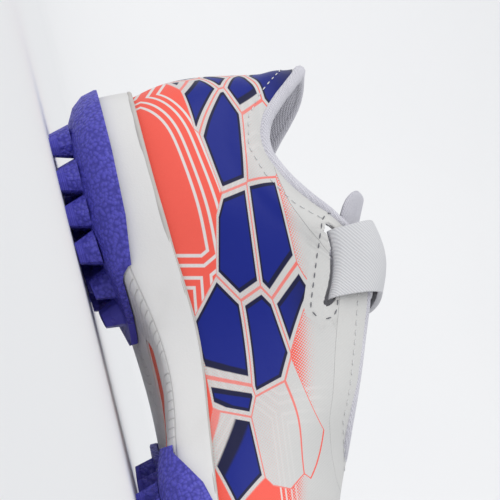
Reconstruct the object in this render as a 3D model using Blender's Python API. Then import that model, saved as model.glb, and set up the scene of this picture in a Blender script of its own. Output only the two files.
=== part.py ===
"""A child's left turf shoe with one hook-and-loop strap, standing on its lugs.

+X points to the toe, +Y to the lateral (outer) side, -Y to the medial side and +Z up, in metres.
Places round the shoe are given as a turn: 0 at the heel, 1 at the toe along the medial side, and on
to 2 at the heel again along the lateral side. Places along it are shares of the midsole's length.
"""

from functools import lru_cache
from math import acos, cos, pi, radians, sin

import bmesh
import bpy
from mathutils import Vector

# Driving sizes of the sole
midsole_length = 0.2214
ball_width = 0.0835
heel_width = 0.0570
lug_height = 0.0060
pad_thickness = 0.0020
arch_rise = 0.0085
toe_spring = 0.0120
heel_foam = 0.0120
ball_foam = 0.0055
heel_side = 0.0188
ball_side = 0.0125
corner_width = 0.0110
corner_height = 0.0085
rim_lean = 0.0012
side_taper = 0.35
lip_thickness = 0.0019
cup_draft = 0.0008
insole_thickness = 0.0035
inlay_length = 0.0340
inlay_width = 0.0105
inlay_thickness = 0.0010
inlay_recess = 0.0005

# Driving sizes of the upper, heights above the flat underside of the midsole
back_height = 0.0730
ankle_height = 0.0545
instep_height = 0.0770
toe_height = 0.0260
collar_width = 0.0430
wall = 0.0018
collar_padding = 0.0014
margin_width = 0.0070
feather_radius = 0.0012

# Driving sizes of the tongue and the strap
tongue_thickness = 0.0034
tongue_half_width = 0.0210
tongue_beyond = 0.0140
tongue_rise_angle = radians(27)
strap_width = 0.0200
strap_thickness = 0.0016
strap_along = 0.342
strap_tail = 0.0360
strap_anchor = 0.0130
slot_below_edge = 0.0095
slot_play = 0.0026
strap_bulge = 0.0016
throat_sag = 0.0022

# Clearance between neighbouring pieces, and the play that soft pieces have besides
clearance = 0.0003
pad_gap = 0.0005
fabric_play = 0.0005

# Stations on each side of the shoe, between heel and toe
side_stations = 28
rib_steps = 11

# Levels of the sole's outside, as shares from the tread's edge to the rim
SOLE_LEVELS = (0.0, 0.15, 0.3, 0.45, 0.6, 0.8, 1.0)

# Plan of the midsole: along, medial and lateral half width as shares of the local width
OUTLINE = (
    (0.000, 0.000, 0.000),
    (0.020, -0.232, 0.232),
    (0.060, -0.395, 0.395),
    (0.130, -0.500, 0.500),
    (0.220, -0.490, 0.530),
    (0.330, -0.385, 0.512),
    (0.420, -0.300, 0.466),
    (0.520, -0.345, 0.440),
    (0.620, -0.461, 0.455),
    (0.700, -0.533, 0.467),
    (0.770, -0.551, 0.443),
    (0.860, -0.521, 0.353),
    (0.940, -0.425, 0.192),
    (0.985, -0.290, -0.010),
    (1.000, -0.156, -0.156),
)

# Underside: along, medial and lateral share of the arch's rise
ARCH = (
    (0.000, 0.00, 0.00),
    (0.230, 0.00, 0.00),
    (0.290, 0.25, 0.00),
    (0.350, 0.75, 0.12),
    (0.420, 1.00, 0.20),
    (0.490, 0.75, 0.12),
    (0.550, 0.20, 0.00),
    (0.590, 0.00, 0.00),
    (1.000, 0.00, 0.00),
)

# Toe spring: along, share of the spring
SPRING = ((0.00, 0.0), (0.80, 0.0), (0.86, 0.10), (0.92, 0.36), (1.00, 1.0))

# Rounded lower corner: along, medial and lateral share of the corner's width and height
CORNER = (
    (0.00, 1.00, 1.00),
    (0.22, 1.00, 1.00),
    (0.32, 0.55, 0.85),
    (0.42, 0.32, 0.60),
    (0.50, 0.45, 0.70),
    (0.58, 0.85, 0.95),
    (0.66, 1.00, 1.00),
    (0.90, 1.00, 1.00),
    (1.00, 0.95, 0.95),
)

# Side wall: along, medial and lateral rim height as shares of the local side height, and the lean
SIDE = (
    (0.00, 1.04, 1.04, 0.50),
    (0.13, 1.00, 1.00, 0.50),
    (0.28, 1.06, 1.02, 0.25),
    (0.42, 1.24, 1.12, 0.05),
    (0.55, 1.16, 1.06, 0.30),
    (0.70, 1.00, 1.00, 1.00),
    (0.88, 0.96, 0.94, 0.90),
    (1.00, 0.78, 0.78, 0.70),
)

# Upper edge of the rubber on the side wall: along, medial and lateral share from tread to rim
FLANGE = (
    (0.00, 0.66, 0.66),
    (0.13, 0.63, 0.63),
    (0.22, 0.60, 0.62),
    (0.30, 0.45, 0.50),
    (0.42, 0.30, 0.35),
    (0.50, 0.25, 0.55),
    (0.55, 0.42, 0.80),
    (0.60, 0.80, 0.96),
    (0.64, 0.98, 0.98),
    (1.00, 0.98, 0.98),
)

# Front edge of the heel pad and rear edge of the forefoot pad: along, share of the ball width
HEEL_PAD_EDGE = (
    (0.236, -0.70), (0.246, -0.46), (0.290, -0.28), (0.342, -0.02),
    (0.356, 0.06), (0.352, 0.11), (0.312, 0.18), (0.266, 0.36), (0.254, 0.70),
)
FORE_PAD_EDGE = (
    (0.545, -0.70), (0.540, -0.40), (0.532, -0.24), (0.548, -0.10),
    (0.562, 0.02), (0.552, 0.08), (0.505, 0.22), (0.478, 0.34), (0.468, 0.70),
)

# Lugs in lines: pad, first and last place along, share of the flat width, count, length, width
LUGS = (
    ("heel", 0.045, 0.045, -0.10, 1, 0.0078, 0.0092),
    ("heel", 0.076, 0.076, -1.02, 1, 0.0096, 0.0080),
    ("heel", 0.076, 0.076, 0.98, 1, 0.0096, 0.0080),
    ("heel", 0.137, 0.247, 1.00, 3, 0.0106, 0.0082),
    ("heel", 0.123, 0.277, 0.54, 4, 0.0070, 0.0056),
    ("heel", 0.102, 0.310, 0.01, 5, 0.0092, 0.0076),
    ("heel", 0.127, 0.280, -0.54, 4, 0.0098, 0.0068),
    ("heel", 0.136, 0.240, -1.10, 3, 0.0104, 0.0078),
    ("fore", 0.622, 0.862, -0.94, 5, 0.0108, 0.0084),
    ("fore", 0.590, 0.880, -0.57, 6, 0.0098, 0.0078),
    ("fore", 0.618, 0.920, -0.20, 6, 0.0090, 0.0074),
    ("fore", 0.584, 0.900, 0.14, 7, 0.0070, 0.0058),
    ("fore", 0.552, 0.880, 0.49, 7, 0.0098, 0.0074),
    ("fore", 0.525, 0.840, 0.92, 6, 0.0108, 0.0080),
)
lug_tip_share = 0.60
lug_root = 0.0007
lug_chamfer = 0.30

# Top edge of the upper by station: place of the edge along, medial and lateral half width as shares
# of the collar's width, middle as a share of the ball width, and how much of each named height
TOPLINE = (
    # along, top, medial, lateral, middle, back, ankle, instep, toe
    (0.000, 0.026, 0.000, 0.000, 0.000, 1.00, 0.00, 0.00, 0.00),
    (0.020, 0.042, -0.250, 0.250, 0.000, 0.93, 0.07, 0.00, 0.00),
    (0.060, 0.078, -0.400, 0.400, 0.000, 0.56, 0.44, 0.00, 0.00),
    (0.100, 0.115, -0.465, 0.465, 0.000, 0.16, 0.84, 0.00, 0.00),
    (0.145, 0.156, -0.490, 0.495, 0.000, 0.01, 0.99, 0.00, 0.00),
    (0.190, 0.197, -0.500, 0.505, -0.003, 0.00, 0.89, 0.11, 0.00),
    (0.235, 0.239, -0.490, 0.495, -0.007, 0.00, 0.65, 0.35, 0.00),
    (0.280, 0.281, -0.450, 0.450, -0.011, 0.00, 0.31, 0.69, 0.00),
    (0.312, 0.312, -0.385, 0.385, -0.014, 0.00, 0.11, 0.89, 0.00),
    (0.345, 0.345, -0.310, 0.310, -0.016, 0.00, 0.00, 1.00, 0.00),
    (0.400, 0.400, -0.270, 0.270, -0.020, 0.00, 0.00, 0.95, 0.00),
    (0.450, 0.450, -0.255, 0.255, -0.024, 0.00, 0.00, 0.89, 0.01),
    (0.500, 0.500, -0.240, 0.240, -0.028, 0.00, 0.00, 0.82, 0.04),
    (0.556, 0.550, -0.210, 0.210, -0.034, 0.00, 0.00, 0.74, 0.08),
    (0.600, 0.582, 0.000, 0.000, -0.040, 0.00, 0.00, 0.69, 0.10),
    (0.680, 0.664, 0.000, 0.000, -0.056, 0.00, 0.00, 0.56, 0.19),
    (0.780, 0.752, 0.000, 0.000, -0.090, 0.00, 0.00, 0.41, 0.34),
    (0.880, 0.834, 0.000, 0.000, -0.126, 0.00, 0.00, 0.24, 0.62),
    (0.950, 0.890, 0.000, 0.000, -0.146, 0.00, 0.00, 0.09, 0.90),
    (1.000, 0.930, 0.000, 0.000, -0.158, 0.00, 0.00, 0.00, 1.00),
)

# Fullness of the upper by station: medial and lateral bulge over the rim and shoulder under the top
# edge as shares of the ball width, and how far each reaches as a share of the height
FULLNESS = (
    # along, bulge medial, bulge lateral, lift, shoulder medial, shoulder lateral, drop
    (0.00, 0.086, 0.086, 0.36, -0.020, -0.020, 0.28),
    (0.06, 0.070, 0.070, 0.36, -0.014, -0.014, 0.28),
    (0.13, 0.046, 0.048, 0.36, 0.004, 0.004, 0.30),
    (0.25, 0.024, 0.034, 0.38, 0.030, 0.034, 0.28),
    (0.35, 0.010, 0.026, 0.42, 0.090, 0.112, 0.20),
    (0.45, 0.006, 0.022, 0.42, 0.125, 0.168, 0.15),
    (0.60, 0.030, 0.036, 0.40, 0.190, 0.200, 0.09),
    (0.75, 0.046, 0.046, 0.42, 0.226, 0.214, 0.05),
    (0.88, 0.050, 0.050, 0.48, 0.180, 0.158, 0.04),
    (1.00, 0.040, 0.040, 0.55, 0.080, 0.080, 0.06),
)

# Tongue from its root to its top: section along, share of the length beyond it, share of the half
# width, and share of the strap's thickness that it stays below the upper
TONGUE = (
    (0.640, 0.00, 0.55, 0.0),
    (0.600, 0.00, 0.74, 0.0),
    (0.560, 0.00, 0.86, 0.0),
    (0.510, 0.00, 0.92, 0.0),
    (0.460, 0.00, 0.95, 0.3),
    (0.410, 0.00, 0.97, 1.3),
    (0.370, 0.00, 1.00, 1.3),
    (0.332, 0.00, 1.00, 1.3),
    (0.296, 0.00, 1.00, 1.3),
    (0.290, 0.25, 1.00, 1.3),
    (0.290, 0.60, 0.97, 1.3),
    (0.290, 0.88, 0.86, 1.3),
    (0.290, 1.00, 0.68, 1.3),
)

# Colours as red, green and blue, then roughness
RUBBER_BLUE = ((0.070, 0.066, 0.420), 0.55)
FOAM_WHITE = ((0.780, 0.775, 0.760), 0.60)
FOAM_CORAL = ((0.900, 0.120, 0.070), 0.55)
UPPER_CORAL = ((0.860, 0.150, 0.095), 0.42)
LINING_WHITE = ((0.700, 0.690, 0.720), 0.90)
STRAP_WHITE = ((0.820, 0.820, 0.820), 0.45)


def turn_at(along):
    """The turn of a place along the medial side."""
    return acos(1.0 - 2.0 * min(max(along, 0.0), 1.0)) / pi


def along_at(turn):
    """The place along of a turn, closer together towards heel and toe."""
    return 0.5 * (1.0 - cos(pi * turn))


def ease(value, low, high):
    """A smooth step from 0 at low to 1 at high."""
    share = min(max((value - low) / (high - low), 0.0), 1.0)
    return share * share * (3.0 - 2.0 * share)


def limited_slope(left, right):
    """A slope through a knot that never swings past its neighbours."""
    if left * right <= 0.0:
        return 0.0
    mean = 0.5 * (left + right)
    limit = 3.0 * min(abs(left), abs(right))
    return max(-limit, min(limit, mean))


def through(knots, place):
    """The value at a place on the smooth curve through sorted knots of (place, value)."""
    index = 1
    while index < len(knots) - 3 and knots[index + 1][0] < place:
        index += 1
    before, here, after, beyond = knots[index - 1:index + 3]
    slopes = []
    for first, second in ((before, here), (here, after), (after, beyond)):
        slopes.append((second[1] - first[1]) / (second[0] - first[0]))
    start = limited_slope(slopes[0], slopes[1])
    end = limited_slope(slopes[1], slopes[2])
    span = after[0] - here[0]
    share = (place - here[0]) / span
    square = share * share
    cube = square * share
    return ((2.0 * cube - 3.0 * square + 1.0) * here[1] + (cube - 2.0 * square + share) * span * start
            + (3.0 * square - 2.0 * cube) * after[1] + (cube - square) * span * end)


class Around:
    """A quantity that runs round the shoe, smooth through a table's medial and lateral columns."""

    def __init__(self, table, medial, lateral):
        forward = [(turn_at(row[0]), row[medial]) for row in table]
        back = [(2.0 - turn_at(row[0]), row[lateral]) for row in reversed(table[1:-1])]
        ring = forward + back
        ahead = [(place + 2.0, value) for place, value in ring[:3]]
        behind = [(place - 2.0, value) for place, value in ring[-2:]]
        self.knots = behind + ring + ahead

    def __call__(self, turn):
        return through(self.knots, turn % 2.0)


across = Around(OUTLINE, 1, 2)
arch_share = Around(ARCH, 1, 2)
corner_share = Around(CORNER, 1, 2)
side_share = Around(SIDE, 1, 2)
lean_share = Around(SIDE, 3, 3)
top_along = Around(TOPLINE, 1, 1)
top_half = Around(TOPLINE, 2, 3)
top_middle = Around(TOPLINE, 4, 4)
top_heights = [Around(TOPLINE, column, column) for column in (5, 6, 7, 8)]
bulge_share = Around(FULLNESS, 1, 2)
lift_share = Around(FULLNESS, 3, 3)
shoulder_share = Around(FULLNESS, 4, 5)
drop_share = Around(FULLNESS, 6, 6)

flat_height = lug_height + pad_thickness + pad_gap


def spring_at(along):
    """How far the toe spring lifts a place along."""
    first = (2.0 * SPRING[0][0] - SPRING[1][0] - 0.1, 0.0)
    last = (1.1, SPRING[-1][1] * 1.5)
    return toe_spring * through((first,) + SPRING + (last,), along)


def width_at(along):
    """The width that the outline's shares follow: the heel's, then the ball's."""
    return heel_width + (ball_width - heel_width) * ease(along, 0.25, 0.60)


def side_at(along):
    """The height of the side wall that its shares follow."""
    return heel_side + (ball_side - heel_side) * ease(along, 0.22, 0.66)


def foam_at(along):
    """The thickness of the foam under the foot."""
    return heel_foam + (ball_foam - heel_foam) * ease(along, 0.30, 0.64)


def raw_across(turn):
    """Distance of the outline from the heel's middle line."""
    return across(turn) * width_at(along_at(turn))


@lru_cache(maxsize=None)
def plan_middle():
    """The middle between the outline's two widest places, which lies on the X axis."""
    sides = [raw_across(step / 100.0) for step in range(200)]
    return 0.5 * (min(sides) + max(sides))


def on_plan(along, sideways):
    """A point of the plan from its place along and its distance from the heel's middle line."""
    return Vector(((along - 0.5) * midsole_length, sideways - plan_middle(), 0.0))


@lru_cache(maxsize=None)
def outline(turn):
    """A point of the midsole's outline."""
    return on_plan(along_at(turn), raw_across(turn))


@lru_cache(maxsize=None)
def outward(turn):
    """The level direction that points out of the shoe at a turn."""
    run = outline(turn + 0.004) - outline(turn - 0.004)
    return Vector((run.y, -run.x, 0.0)).normalized()


def corner_at(turn):
    """Width and height of the rounded lower corner."""
    share = corner_share(turn)
    return corner_width * share, corner_height * share


def tread_height(turn):
    """Height of the midsole's underside at the inner end of the rounded corner."""
    inner = along_at(turn) - corner_at(turn)[0] * outward(turn).x / midsole_length
    return flat_height + spring_at(inner) + arch_rise * arch_share(turn)


def rim_height(turn):
    """Height of the midsole's rim."""
    along = along_at(turn)
    return flat_height + spring_at(along) + side_share(turn) * side_at(along)


def sole_point(turn, share, grow):
    """A point of the sole's outside: share 0 at the tread's edge, 1 at the rim, grow outwards."""
    width, height = corner_at(turn)
    lower = tread_height(turn)
    widest = min(lower + height, rim_height(turn) - 0.1 * height)
    corner_end = 0.6
    if share <= corner_end:
        angle = 0.5 * pi * (1.0 - share / corner_end)
        out = -width * (1.0 - cos(angle)) + grow * cos(angle)
        rise = widest - (widest - lower) * sin(angle) - grow * sin(angle)
    else:
        climb = (share - corner_end) / (1.0 - corner_end)
        out = -rim_lean * lean_share(turn) * climb * climb + grow * (1.0 - side_taper * climb)
        rise = widest + (rim_height(turn) - widest) * climb
    point = outline(turn) + outward(turn) * out
    point.z = rise
    return point


def cup_point(turn, share, inside):
    """A point of the cup's inner wall: share 0 at the footbed, 1 at the rim, inside it by a distance."""
    out = -rim_lean * lean_share(turn) - lip_thickness - cup_draft * (1.0 - share) - inside
    point = outline(turn) + outward(turn) * out
    bed = bed_height(point)
    point.z = bed + (rim_height(turn) - bed) * share
    return point


def bed_height(point):
    """Height of the footbed under a point."""
    along = point.x / midsole_length + 0.5
    return flat_height + spring_at(along) + foam_at(along)


def flat_edges(along):
    """Sideways places where the flat underside ends on the medial and the lateral side."""
    turn = turn_at(along)
    medial = outline(turn).y + corner_at(turn)[0]
    lateral = outline(2.0 - turn).y - corner_at(2.0 - turn)[0]
    return medial, lateral


def underside_height(place_x, place_y):
    """Height of the midsole's underside over a point of the plan."""
    along = place_x / midsole_length + 0.5
    turn = turn_at(along)
    medial, lateral = flat_edges(along)
    share = min(max((place_y - medial) / (lateral - medial), 0.0), 1.0)
    arch = arch_share(turn) * (1.0 - share) + arch_share(2.0 - turn) * share
    return flat_height + spring_at(along) + arch_rise * arch


def top_point(turn):
    """A point of the upper's top edge, or of its ridge where the vamp is closed."""
    along = top_along(turn)
    point = on_plan(along, top_middle(turn) * ball_width + top_half(turn) * collar_width)
    sizes = (back_height, ankle_height, instep_height, toe_height)
    height = sum(share(turn) * size for share, size in zip(top_heights, sizes))
    point.z = flat_height + spring_at(along) + height
    return point


@lru_cache(maxsize=None)
def rib(turn):
    """The four handles of a rib of the upper's outside: rim, bulge, shoulder and top."""
    rim = cup_point(turn, 1.0, clearance)
    top = top_point(turn)
    height = top.z - rim.z
    way = outward(turn)
    bulge = rim + way * (bulge_share(turn) * ball_width)
    bulge.z += lift_share(turn) * height
    shoulder = top + way * (shoulder_share(turn) * ball_width)
    shoulder.z -= drop_share(turn) * height
    return rim, bulge, shoulder, top


def rib_point(turn, share):
    """A point of a rib: share 0 at the rim, 1 at the top edge."""
    rim, bulge, shoulder, top = rib(turn)
    rest = 1.0 - share
    return (rim * rest ** 3 + bulge * 3.0 * rest ** 2 * share
            + shoulder * 3.0 * rest * share ** 2 + top * share ** 3)


@lru_cache(maxsize=None)
def girth_line(along):
    """Points over the instep at a station, and their distances from the middle of the throat."""
    fine = 48
    turn = turn_at(along)
    medial = [rib_point(turn, step / fine) for step in range(fine + 1)]
    lateral = [rib_point(2.0 - turn, step / fine) for step in range(fine, -1, -1)]
    left, right = medial[-1], lateral[0]
    gap = (right - left).length
    bridge = []
    if gap > clearance:
        rise = (rib(turn)[3] - rib(turn)[2]).normalized() * gap
        fall = (rib(2.0 - turn)[2] - rib(2.0 - turn)[3]).normalized() * gap
        for step in range(1, 24):
            share = step / 24.0
            square, cube = share ** 2, share ** 3
            bridge.append(left * (2.0 * cube - 3.0 * square + 1.0) + rise * (cube - 2.0 * square + share)
                          + right * (3.0 * square - 2.0 * cube) + fall * (cube - square))
    else:
        lateral = lateral[1:]
    points = medial + bridge + lateral
    lengths = [0.0]
    for first, second in zip(points, points[1:]):
        lengths.append(lengths[-1] + (second - first).length)
    edge_medial = lengths[len(medial) - 1]
    edge_lateral = lengths[len(medial) - 1 + len(bridge) + (1 if bridge else 0)]
    middle = 0.5 * (edge_medial + edge_lateral)
    return points, [length - middle for length in lengths], 0.5 * (edge_lateral - edge_medial)


def half_throat(along):
    """Half of the girth across the open throat."""
    return girth_line(along)[2]


def over(along, girth):
    """A point of the closed form over the instep, by its girth from the throat's middle."""
    points, lengths, _ = girth_line(along)
    index = 0
    while index < len(lengths) - 2 and lengths[index + 1] < girth:
        index += 1
    share = (girth - lengths[index]) / (lengths[index + 1] - lengths[index])
    return points[index].lerp(points[index + 1], share)


def lifted(along, girth, lift):
    """A point above (or below) the form over the instep."""
    step = 0.002
    run = over(along + 0.01, girth) - over(along - 0.01, girth)
    side = over(along, girth + step) - over(along, girth - step)
    return over(along, girth) + run.cross(side).normalized() * lift


def ring(bm, count, place):
    """A ring of vertices round the shoe, one for each station on both sides."""
    return [bm.verts.new(place(2.0 * step / count)) for step in range(count)]


def bridge(bm, lower, upper):
    """Join two rings of equal count with faces."""
    count = len(lower)
    for step in range(count):
        ahead = (step + 1) % count
        corners = [lower[step], lower[ahead], upper[ahead], upper[step]]
        distinct = list(dict.fromkeys(corners))
        if len(distinct) > 2:
            bm.faces.new(distinct)


def deck(bm, edge, steps):
    """Fill a ring with rows of faces that run from its medial to its lateral side."""
    half = len(edge) // 2
    rows = [[edge[0]]]
    for step in range(1, half):
        near, far = edge[step], edge[-step]
        inner = [bm.verts.new(near.co.lerp(far.co, part / steps)) for part in range(1, steps)]
        rows.append([near] + inner + [far])
    rows.append([edge[half]])
    for row, following in zip(rows, rows[1:]):
        for part in range(steps):
            corners = [row[min(part, len(row) - 1)], row[min(part + 1, len(row) - 1)],
                       following[min(part + 1, len(following) - 1)],
                       following[min(part, len(following) - 1)]]
            bm.faces.new(list(dict.fromkeys(corners)))


def material(name, finish):
    """A plain material from a colour and a roughness."""
    colour, roughness = finish
    made = bpy.data.materials.new(name)
    made.use_nodes = True
    shader = made.node_tree.nodes["Principled BSDF"]
    shader.inputs["Base Color"].default_value = (*colour, 1.0)
    shader.inputs["Roughness"].default_value = roughness
    shader.inputs["Metallic"].default_value = 0.0
    return made


def make_object(name, bm, finish=None, closed=True):
    """Turn a bmesh into a named object with its material and smooth shading."""
    if closed:
        bmesh.ops.recalc_face_normals(bm, faces=bm.faces)
    mesh = bpy.data.meshes.new(name)
    bm.to_mesh(mesh)
    bm.free()
    mesh.shade_smooth()
    mesh.set_sharp_from_angle(angle=radians(35))
    made = bpy.data.objects.new(name, mesh)
    bpy.context.scene.collection.objects.link(made)
    if finish:
        mesh.materials.append(material(name, finish))
    return made


def hide_helper(helper):
    """Mark a cutter so that it is only a guide."""
    helper.hide_render = True
    helper.display_type = "WIRE"


def add_boolean(target, helper, operation):
    """Cut, join or keep the common part of a target and a helper."""
    change = target.modifiers.new(helper.name, "BOOLEAN")
    change.operation = operation
    change.solver = "EXACT"
    change.object = helper
    hide_helper(helper)


def plan_prism(name, points, low, high):
    """A straight prism over an outline in plan."""
    bm = bmesh.new()
    base = bm.faces.new([bm.verts.new((point.x, point.y, low)) for point in points])
    grown = bmesh.ops.extrude_face_region(bm, geom=[base])
    top = [item for item in grown["geom"] if isinstance(item, bmesh.types.BMVert)]
    bmesh.ops.translate(bm, verts=top, vec=(0.0, 0.0, high - low))
    return make_object(name, bm)


def leaf_points(length, width):
    """Outline of the leaf-shaped inlay in plan, pointed at both ends."""
    middle = on_plan(0.446, -0.030 * ball_width)
    points = []
    for step in range(20):
        angle = 2.0 * pi * step / 20.0
        bend = 0.10 * length * cos(angle) ** 2
        points.append(middle + Vector((0.5 * length * cos(angle),
                                       0.5 * width * sin(angle) * (1.0 - 0.35 * cos(angle)) - bend, 0.0)))
    return points


def leaf_solid(name, grow, low, high, finish=None):
    """A leaf that follows the arch plate, between two depths above its surface."""
    bm = bmesh.new()
    points = leaf_points(inlay_length + 2.0 * grow, inlay_width + 2.0 * grow)
    lower = [bm.verts.new((p.x, p.y, underside_height(p.x, p.y) + low)) for p in points]
    upper = [bm.verts.new((p.x, p.y, underside_height(p.x, p.y) + high)) for p in points]
    bridge(bm, lower, upper)
    for edge in (lower, upper):
        deck(bm, edge, 2)
    return make_object(name, bm, finish)


def make_midsole():
    """Cupped foam sole with its footbed, rim lip, side wall and arch plate."""
    bm = bmesh.new()
    count = 2 * side_stations
    rings = [ring(bm, count, lambda turn, s=share: sole_point(turn, s, 0.0)) for share in SOLE_LEVELS]
    for share in (1.0, 0.0):
        rings.append(ring(bm, count, lambda turn, s=share: cup_point(turn, s, 0.0)))
    for lower, upper in zip(rings, rings[1:]):
        bridge(bm, lower, upper)
    deck(bm, rings[0], 4)
    deck(bm, rings[-1], 4)
    midsole = make_object("midsole", bm, FOAM_WHITE)
    pocket = leaf_solid("inlay_pocket", clearance, -inlay_recess,
                        inlay_recess + inlay_thickness + clearance)
    add_boolean(midsole, pocket, "DIFFERENCE")
    return midsole


def make_lug(bm, along, share, length, width):
    """One tapered lug with clipped corners, standing square to the pad's underside."""
    medial, lateral = flat_edges(along)
    middle_x = (along - 0.5) * midsole_length
    middle_y = 0.5 * (medial + lateral) + 0.5 * share * (lateral - medial)
    under = pad_gap + pad_thickness
    reach = 0.002
    slope_x = (underside_height(middle_x + reach, middle_y)
               - underside_height(middle_x - reach, middle_y)) / (2.0 * reach)
    slope_y = (underside_height(middle_x, middle_y + reach)
               - underside_height(middle_x, middle_y - reach)) / (2.0 * reach)
    down = Vector((slope_x, slope_y, -1.0)).normalized()
    ahead = Vector((1.0, 0.0, slope_x)).normalized()
    beside = down.cross(ahead)
    root = Vector((middle_x, middle_y, underside_height(middle_x, middle_y) - under))
    rings = []
    slope = (slope_x * slope_x + slope_y * slope_y) ** 0.5
    height = lug_height - slope * 0.5 * length * lug_tip_share
    for depth, scale in ((-lug_root, 1.0), (height, lug_tip_share)):
        corners = []
        for run, side in ((1, -1), (1, 1), (-1, 1), (-1, -1)):
            clipped = ((1.0, 1.0 - 2.0 * lug_chamfer), (1.0 - 2.0 * lug_chamfer, 1.0))
            if run * side < 0:
                clipped = clipped[::-1]
            for part_run, part_side in clipped:
                place = ahead * (0.5 * length * scale * run * part_run)
                place += beside * (0.5 * width * scale * side * part_side)
                corners.append(bm.verts.new(root + place + down * depth))
        rings.append(corners)
    bridge(bm, rings[0], rings[1])
    bm.faces.new(rings[0])
    bm.faces.new(rings[1])


def make_lugs(pad):
    """All the lugs of one pad as a helper for its union."""
    bm = bmesh.new()
    for name, first, last, share, count, length, width in LUGS:
        if name != pad:
            continue
        for step in range(count):
            part = step / (count - 1) if count > 1 else 0.0
            make_lug(bm, first + (last - first) * part, share, length, width)
    return make_object(pad + "_lugs", bm)


def make_pad(name, pad, edge, ahead):
    """A rubber pad: a shell under the sole and up its side, kept within its plan, with its lugs."""
    bm = bmesh.new()
    count = 2 * side_stations
    skins = []
    for grow in (pad_gap, pad_gap + pad_thickness):
        rings = []
        for share in SOLE_LEVELS:
            rings.append(ring(bm, count, lambda turn, s=share, g=grow: sole_point(turn, s, g)))
        for lower, upper in zip(rings, rings[1:]):
            bridge(bm, lower, upper)
        deck(bm, rings[0], 4)
        skins.append(rings)
    bridge(bm, skins[0][-1], skins[1][-1])
    shell = make_object(name, bm, RUBBER_BLUE)
    border = [on_plan(along, share * ball_width) for along, share in edge]
    far = 0.6 * midsole_length * (1.0 if ahead else -1.0)
    corners = [Vector((far, border[-1].y, 0.0)), Vector((far, border[0].y, 0.0))]
    keep = plan_prism(pad + "_plan", border + corners, -0.01, 0.06)
    add_boolean(shell, keep, "INTERSECT")
    for side, place in (("medial", 1), ("lateral", -1)):
        add_boolean(shell, make_flange_cutter(pad + "_flange_" + side, place), "DIFFERENCE")
    add_boolean(shell, make_lugs(pad), "UNION")
    return shell


def make_flange_cutter(name, place):
    """A block over one side of the sole that trims the rubber along its upper edge."""
    line = []
    for along, medial, lateral in FLANGE:
        turn = turn_at(along) if place > 0 else 2.0 - turn_at(along)
        share = medial if place > 0 else lateral
        line.append(((along - 0.5) * midsole_length, sole_point(turn, share, 0.0).z))
    line[0] = (-midsole_length, line[0][1])
    line[-1] = (midsole_length, line[-1][1])
    bm = bmesh.new()
    reach = ball_width
    high = flat_height + 2.0 * heel_side + toe_spring
    corners = line + [(midsole_length, high), (-midsole_length, high)]
    face = bm.faces.new([bm.verts.new((run, 0.0, rise)) for run, rise in corners])
    grown = bmesh.ops.extrude_face_region(bm, geom=[face])
    moved = [item for item in grown["geom"] if isinstance(item, bmesh.types.BMVert)]
    bmesh.ops.translate(bm, verts=moved, vec=(0.0, -place * reach, 0.0))
    return make_object(name, bm)


def make_insole():
    """Loose sock liner that lies on the lasting margin inside the upper."""
    bm = bmesh.new()
    count = 2 * side_stations
    lowest = clearance + wall + clearance

    def edge(turn, rise):
        point = cup_point(turn, 0.0, 2.0 * clearance + wall + 2.0 * clearance)
        point.z += rise
        return point

    lower = ring(bm, count, lambda turn: edge(turn, lowest))
    upper = ring(bm, count, lambda turn: edge(turn, lowest + insole_thickness))
    bridge(bm, lower, upper)
    deck(bm, lower, 4)
    deck(bm, upper, 4)
    return make_object("insole", bm, LINING_WHITE)


def upper_rings(bm, count):
    """Rings of the upper's outside, from the inner edge of its lasting margin to its top edge."""
    def margin(turn, inside, rise):
        point = cup_point(turn, 0.0, clearance + inside)
        point.z = bed_height(point) + clearance + rise
        return point

    rings = [
        ring(bm, count, lambda turn: margin(turn, margin_width, 0.0)),
        ring(bm, count, lambda turn: margin(turn, feather_radius, 0.0)),
        ring(bm, count, lambda turn: margin(turn, 0.0, feather_radius)),
    ]
    for step in range(rib_steps):
        rings.append(ring(bm, count, lambda turn, s=step / rib_steps: rib_point(turn, s)))
    top = []
    for step in range(count):
        turn = 2.0 * step / count
        closed = top_half(turn) == 0.0 and along_at(turn) > 0.5
        if closed and step > count // 2:
            top.append(top[count - step])
        else:
            top.append(bm.verts.new(rib_point(turn, 1.0)))
    rings.append(top)
    return rings


def padding_weight(turn, share):
    """How much of the collar's padding lies at a place of the upper."""
    along = top_along(turn)
    return (1.0 - ease(along, 0.20, 0.285)) * ease(share, 0.55, 0.80)


def make_slot_cutter():
    """The rounded slot in the medial quarter that the strap comes out of."""
    bm = bmesh.new()
    radius = 0.5 * slot_opening()
    straight = 0.5 * strap_width + slot_play - radius
    middle = -(half_throat(strap_along) + slot_below_edge + strap_turn()[1])
    steps = 14
    sections = []
    for step in range(steps + 1):
        run = (straight + 0.95 * radius) * (2.0 * step / steps - 1.0)
        rounding = max(0.0, abs(run) - straight) / radius
        half = radius * (1.0 - rounding ** 2) ** 0.5
        along = strap_along + run / midsole_length
        high = [lifted(along, middle + side * half, 0.0015) for side in (-1, 1)]
        low = [lifted(along, middle + side * half, -wall - 0.0015) for side in (-1, 1)]
        sections.append((high, low))
    ribbon(bm, sections)
    return make_object("strap_slot", bm)


def slot_opening():
    """Height of the slot, wide enough for the strap to turn through it."""
    return strap_thickness + slot_play


def strap_turn():
    """Middle lift and radius of the strap's turn round the edge above the slot."""
    inside = -(wall + clearance + fabric_play + 0.5 * strap_thickness)
    outside = clearance + fabric_play + 0.5 * strap_thickness
    return 0.5 * (inside + outside), 0.5 * (outside - inside)


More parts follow.
